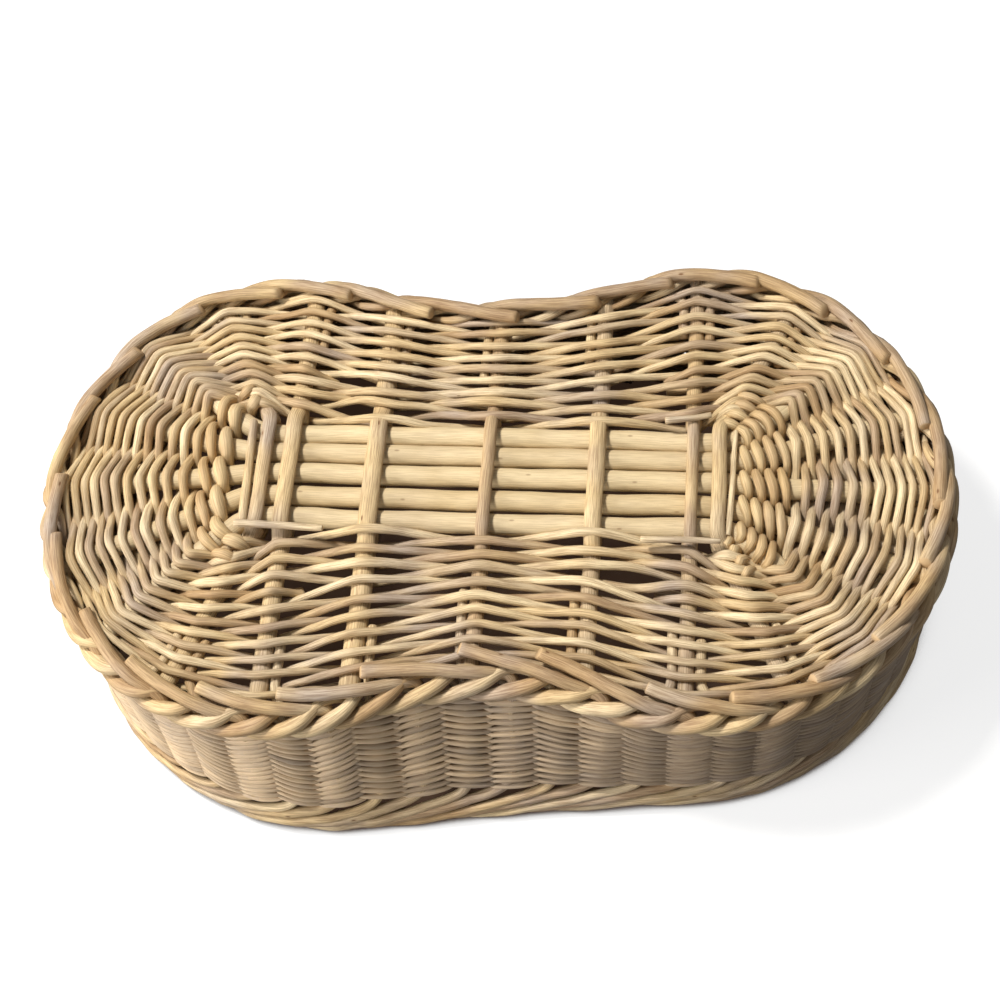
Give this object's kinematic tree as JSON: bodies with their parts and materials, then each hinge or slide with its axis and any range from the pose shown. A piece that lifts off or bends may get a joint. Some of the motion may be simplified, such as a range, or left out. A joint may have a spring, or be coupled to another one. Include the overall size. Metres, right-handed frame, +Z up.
{
  "type": "woven basket",
  "caption": "Shallow peanut-shaped basket of peeled willow rods with a woven base on a slath of split sticks and a rolled border, shown mouth down",
  "frame": {"origin": "centre of the bounding box on the floor that the rim stands on", "axes": "+X along the length of the basket, +Y across it to the far side, +Z up from the mouth to the base: the basket stands upside down, as pictured"},
  "size_m": [0.3992, 0.2476, 0.09],
  "materials": {
    "pale_willow": "peeled willow, thick pale rods, satin",
    "straw_willow": "peeled willow, straw coloured, satin",
    "tan_willow": "peeled willow, tan, matt",
    "shade_willow": "peeled willow, fine rods, weathered and matt"
  },
  "bodies": {
    "root": {"long_stick_1": "pale_willow", "long_stick_2": "pale_willow", "long_stick_3": "pale_willow", "long_stick_4": "pale_willow", "long_stick_5": "pale_willow", "foot_wale": "pale_willow", "cross_stick_1": "straw_willow", "cross_stick_2": "straw_willow", "cross_stick_3": "straw_willow", "cross_stick_4": "straw_willow", "cross_stick_5": "straw_willow", "bow_stick_right": "straw_willow", "bow_stick_left": "straw_willow", "stake_01": "straw_willow", "stake_02": "straw_willow", "stake_03": "straw_willow", "stake_04": "straw_willow", "stake_05": "straw_willow", "stake_06": "straw_willow", "stake_07": "straw_willow", "stake_08": "straw_willow", "stake_09": "straw_willow", "stake_10": "straw_willow", "stake_11": "straw_willow", "stake_12": "straw_willow", "stake_13": "straw_willow", "stake_14": "straw_willow", "stake_15": "straw_willow", "stake_16": "straw_willow", "stake_17": "straw_willow", "stake_18": "straw_willow", "stake_19": "straw_willow", "stake_20": "straw_willow", "stake_21": "straw_willow", "stake_22": "straw_willow", "stake_23": "straw_willow", "stake_24": "straw_willow", "stake_25": "straw_willow", "stake_26": "straw_willow", "stake_27": "straw_willow", "stake_28": "straw_willow", "base_band_1": "straw_willow", "base_band_2": "straw_willow", "base_band_3": "straw_willow", "base_band_4": "straw_willow", "base_band_5": "straw_willow", "base_band_6": "straw_willow", "slath_binding_right_1": "tan_willow", "slath_binding_right_2": "tan_willow", "slath_binding_left_1": "tan_willow", "slath_binding_left_2": "tan_willow", "wall_band_1": "shade_willow", "wall_band_2": "shade_willow", "wall_band_3": "shade_willow", "wall_band_4": "shade_willow", "wall_band_5": "shade_willow", "wall_band_6": "shade_willow"}
  },
  "joints": []
}
